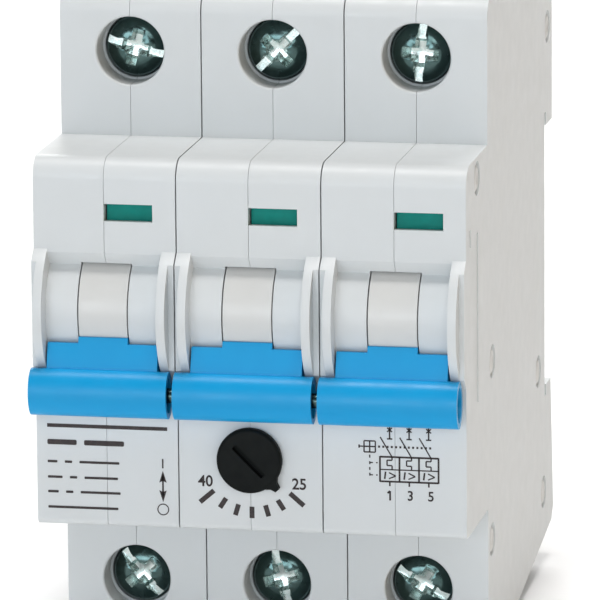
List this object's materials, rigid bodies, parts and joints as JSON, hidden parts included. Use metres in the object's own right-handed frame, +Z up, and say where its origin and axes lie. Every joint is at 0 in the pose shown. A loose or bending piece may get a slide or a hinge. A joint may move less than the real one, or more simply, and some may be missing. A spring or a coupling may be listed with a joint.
{
  "type": "motor protection breaker",
  "caption": "Motor protection breaker for a 35 mm rail with linked toggles, a current setting dial, position windows and clamp terminals.",
  "frame": {"origin": "on the rail face, at the centre line of the mounting rail and half the width", "axes": "+Z up, -Y towards the operator, +X to the operator's right; +Y points into the rail"},
  "size_m": [0.0524, 0.0717, 0.08],
  "materials": {
    "housing": "light grey moulded thermoplastic, fine matt texture",
    "toggle": "blue moulded plastic, satin",
    "drum": "light grey smooth plastic",
    "flag": "green and red two-colour flag",
    "steel": "zinc plated steel",
    "copper": "copper strip",
    "coil": "enamelled copper winding",
    "bimetal": "rolled bimetal",
    "clip": "dark grey plastic",
    "screw": "bright nickel plate",
    "dial": "black plastic",
    "rivet": "plated steel"
  },
  "bodies": {
    "housing": {"left_shell_1": "housing", "left_shell_2": "housing", "left_shell_3": "housing", "right_shell_1": "housing", "right_shell_2": "housing", "right_shell_3": "housing", "line_bar_1": "copper", "line_bar_2": "copper", "line_bar_3": "copper", "load_bar_1": "copper", "load_bar_2": "copper", "load_bar_3": "copper", "arc_chute_1": "steel", "arc_chute_2": "steel", "arc_chute_3": "steel", "trip_coil_1": "coil", "trip_coil_2": "coil", "trip_coil_3": "coil", "bimetal_strip_1": "bimetal", "bimetal_strip_2": "bimetal", "bimetal_strip_3": "bimetal", "rivet_rear_top": "rivet", "rivet_nose_top": "rivet", "rivet_middle": "rivet", "rivet_rear_low": "rivet", "rivet_shoulder_low": "rivet"},
    "handle": {"toggle_1": "toggle", "toggle_2": "toggle", "toggle_3": "toggle", "toggle_drum_1": "drum", "toggle_drum_2": "drum", "toggle_drum_3": "drum", "handle_tie_pin": "screw"},
    "dial": {"current_dial": "dial"},
    "trip_bar": {"trip_bar": "dial"},
    "contact_arm_1": {"contact_arm_1": "copper"},
    "position_flag_1": {"position_flag_1": "flag"},
    "trip_plunger_1": {"trip_plunger_1": "steel"},
    "rail_clip_1": {"rail_clip_1": "clip"},
    "line_screw_1": {"line_screw_1": "screw"},
    "line_cage_1": {"line_cage_1": "steel"},
    "load_screw_1": {"load_screw_1": "screw"},
    "load_cage_1": {"load_cage_1": "steel"},
    "contact_arm_2": {"contact_arm_2": "copper"},
    "position_flag_2": {"position_flag_2": "flag"},
    "trip_plunger_2": {"trip_plunger_2": "steel"},
    "rail_clip_2": {"rail_clip_2": "clip"},
    "line_screw_2": {"line_screw_2": "screw"},
    "line_cage_2": {"line_cage_2": "steel"},
    "load_screw_2": {"load_screw_2": "screw"},
    "load_cage_2": {"load_cage_2": "steel"},
    "contact_arm_3": {"contact_arm_3": "copper"},
    "position_flag_3": {"position_flag_3": "flag"},
    "trip_plunger_3": {"trip_plunger_3": "steel"},
    "rail_clip_3": {"rail_clip_3": "clip"},
    "line_screw_3": {"line_screw_3": "screw"},
    "line_cage_3": {"line_cage_3": "steel"},
    "load_screw_3": {"load_screw_3": "screw"},
    "load_cage_3": {"load_cage_3": "steel"}
  },
  "joints": [
    {"name": "handle_swing", "type": "hinge", "parent": "housing", "child": "handle", "pos_m": [0, -0.0544, 0.0037], "axis": [-1, 0, 0], "range_deg": [0, 72]},
    {"name": "dial_turn", "type": "hinge", "parent": "housing", "child": "dial", "pos_m": [0, -0.06, -0.0135], "axis": [0, 1, 0], "range_deg": [-4.2, 94.2]},
    {"name": "trip_bar_swing", "type": "hinge", "parent": "housing", "child": "trip_bar", "pos_m": [0, -0.05, -0.008], "axis": [-1, 0, 0], "range_deg": [0, 12], "stiffness_Nm_per_rad": 0.01},
    {"name": "contact_arm_1_swing", "type": "hinge", "parent": "housing", "child": "contact_arm_1", "pos_m": [-0.0175, -0.036, 0.005], "axis": [1, 0, 0], "range_deg": [0, 16]},
    {"name": "position_flag_1_slide", "type": "slide", "parent": "housing", "child": "position_flag_1", "axis": [0, 0, -1], "range_m": [0, 0.0028]},
    {"name": "trip_plunger_1_slide", "type": "slide", "parent": "housing", "child": "trip_plunger_1", "axis": [0, 0, 1], "range_m": [0, 0.002], "stiffness_N_per_m": 30},
    {"name": "rail_clip_1_slide", "type": "slide", "parent": "housing", "child": "rail_clip_1", "axis": [0, 0, -1], "range_m": [0, 0.004], "stiffness_N_per_m": 500, "springref_m": -0.001},
    {"name": "line_screw_1_turn", "type": "hinge", "parent": "housing", "child": "line_screw_1", "pos_m": [-0.0175, -0.0409, 0.03275], "axis": [0, 1, 0], "range_deg": [0, 1935]},
    {"name": "line_cage_1_slide", "type": "slide", "parent": "housing", "child": "line_cage_1", "axis": [0, -1, 0], "range_m": [0, 0.0043]},
    {"name": "load_screw_1_turn", "type": "hinge", "parent": "housing", "child": "load_screw_1", "pos_m": [-0.0175, -0.0409, -0.03275], "axis": [0, 1, 0], "range_deg": [0, 1935]},
    {"name": "load_cage_1_slide", "type": "slide", "parent": "housing", "child": "load_cage_1", "axis": [0, -1, 0], "range_m": [0, 0.0043]},
    {"name": "contact_arm_2_swing", "type": "hinge", "parent": "housing", "child": "contact_arm_2", "pos_m": [0, -0.036, 0.005], "axis": [1, 0, 0], "range_deg": [0, 16]},
    {"name": "position_flag_2_slide", "type": "slide", "parent": "housing", "child": "position_flag_2", "axis": [0, 0, -1], "range_m": [0, 0.0028]},
    {"name": "trip_plunger_2_slide", "type": "slide", "parent": "housing", "child": "trip_plunger_2", "axis": [0, 0, 1], "range_m": [0, 0.002], "stiffness_N_per_m": 30},
    {"name": "rail_clip_2_slide", "type": "slide", "parent": "housing", "child": "rail_clip_2", "axis": [0, 0, -1], "range_m": [0, 0.004], "stiffness_N_per_m": 500, "springref_m": -0.001},
    {"name": "line_screw_2_turn", "type": "hinge", "parent": "housing", "child": "line_screw_2", "pos_m": [0, -0.0409, 0.03275], "axis": [0, 1, 0], "range_deg": [0, 1935]},
    {"name": "line_cage_2_slide", "type": "slide", "parent": "housing", "child": "line_cage_2", "axis": [0, -1, 0], "range_m": [0, 0.0043]},
    {"name": "load_screw_2_turn", "type": "hinge", "parent": "housing", "child": "load_screw_2", "pos_m": [0, -0.0409, -0.03275], "axis": [0, 1, 0], "range_deg": [0, 1935]},
    {"name": "load_cage_2_slide", "type": "slide", "parent": "housing", "child": "load_cage_2", "axis": [0, -1, 0], "range_m": [0, 0.0043]},
    {"name": "contact_arm_3_swing", "type": "hinge", "parent": "housing", "child": "contact_arm_3", "pos_m": [0.0175, -0.036, 0.005], "axis": [1, 0, 0], "range_deg": [0, 16]},
    {"name": "position_flag_3_slide", "type": "slide", "parent": "housing", "child": "position_flag_3", "axis": [0, 0, -1], "range_m": [0, 0.0028]},
    {"name": "trip_plunger_3_slide", "type": "slide", "parent": "housing", "child": "trip_plunger_3", "axis": [0, 0, 1], "range_m": [0, 0.002], "stiffness_N_per_m": 30},
    {"name": "rail_clip_3_slide", "type": "slide", "parent": "housing", "child": "rail_clip_3", "axis": [0, 0, -1], "range_m": [0, 0.004], "stiffness_N_per_m": 500, "springref_m": -0.001},
    {"name": "line_screw_3_turn", "type": "hinge", "parent": "housing", "child": "line_screw_3", "pos_m": [0.0175, -0.0409, 0.03275], "axis": [0, 1, 0], "range_deg": [0, 1935]},
    {"name": "line_cage_3_slide", "type": "slide", "parent": "housing", "child": "line_cage_3", "axis": [0, -1, 0], "range_m": [0, 0.0043]},
    {"name": "load_screw_3_turn", "type": "hinge", "parent": "housing", "child": "load_screw_3", "pos_m": [0.0175, -0.0409, -0.03275], "axis": [0, 1, 0], "range_deg": [0, 1935]},
    {"name": "load_cage_3_slide", "type": "slide", "parent": "housing", "child": "load_cage_3", "axis": [0, -1, 0], "range_m": [0, 0.0043]}
  ],
  "couplings": [
    {"joint": "contact_arm_1_swing", "follows": "handle_swing", "ratio": 0.22194},
    {"joint": "position_flag_1_slide", "follows": "handle_swing", "m_per_rad": 0.0022202},
    {"joint": "line_screw_1_turn", "follows": "line_cage_1_slide", "rad_per_m": 7854},
    {"joint": "load_screw_1_turn", "follows": "load_cage_1_slide", "rad_per_m": 7854},
    {"joint": "contact_arm_2_swing", "follows": "handle_swing", "ratio": 0.22194},
    {"joint": "position_flag_2_slide", "follows": "handle_swing", "m_per_rad": 0.0022202},
    {"joint": "line_screw_2_turn", "follows": "line_cage_2_slide", "rad_per_m": 7854},
    {"joint": "load_screw_2_turn", "follows": "load_cage_2_slide", "rad_per_m": 7854},
    {"joint": "contact_arm_3_swing", "follows": "handle_swing", "ratio": 0.22194},
    {"joint": "position_flag_3_slide", "follows": "handle_swing", "m_per_rad": 0.0022202},
    {"joint": "line_screw_3_turn", "follows": "line_cage_3_slide", "rad_per_m": 7854},
    {"joint": "load_screw_3_turn", "follows": "load_cage_3_slide", "rad_per_m": 7854}
  ]
}
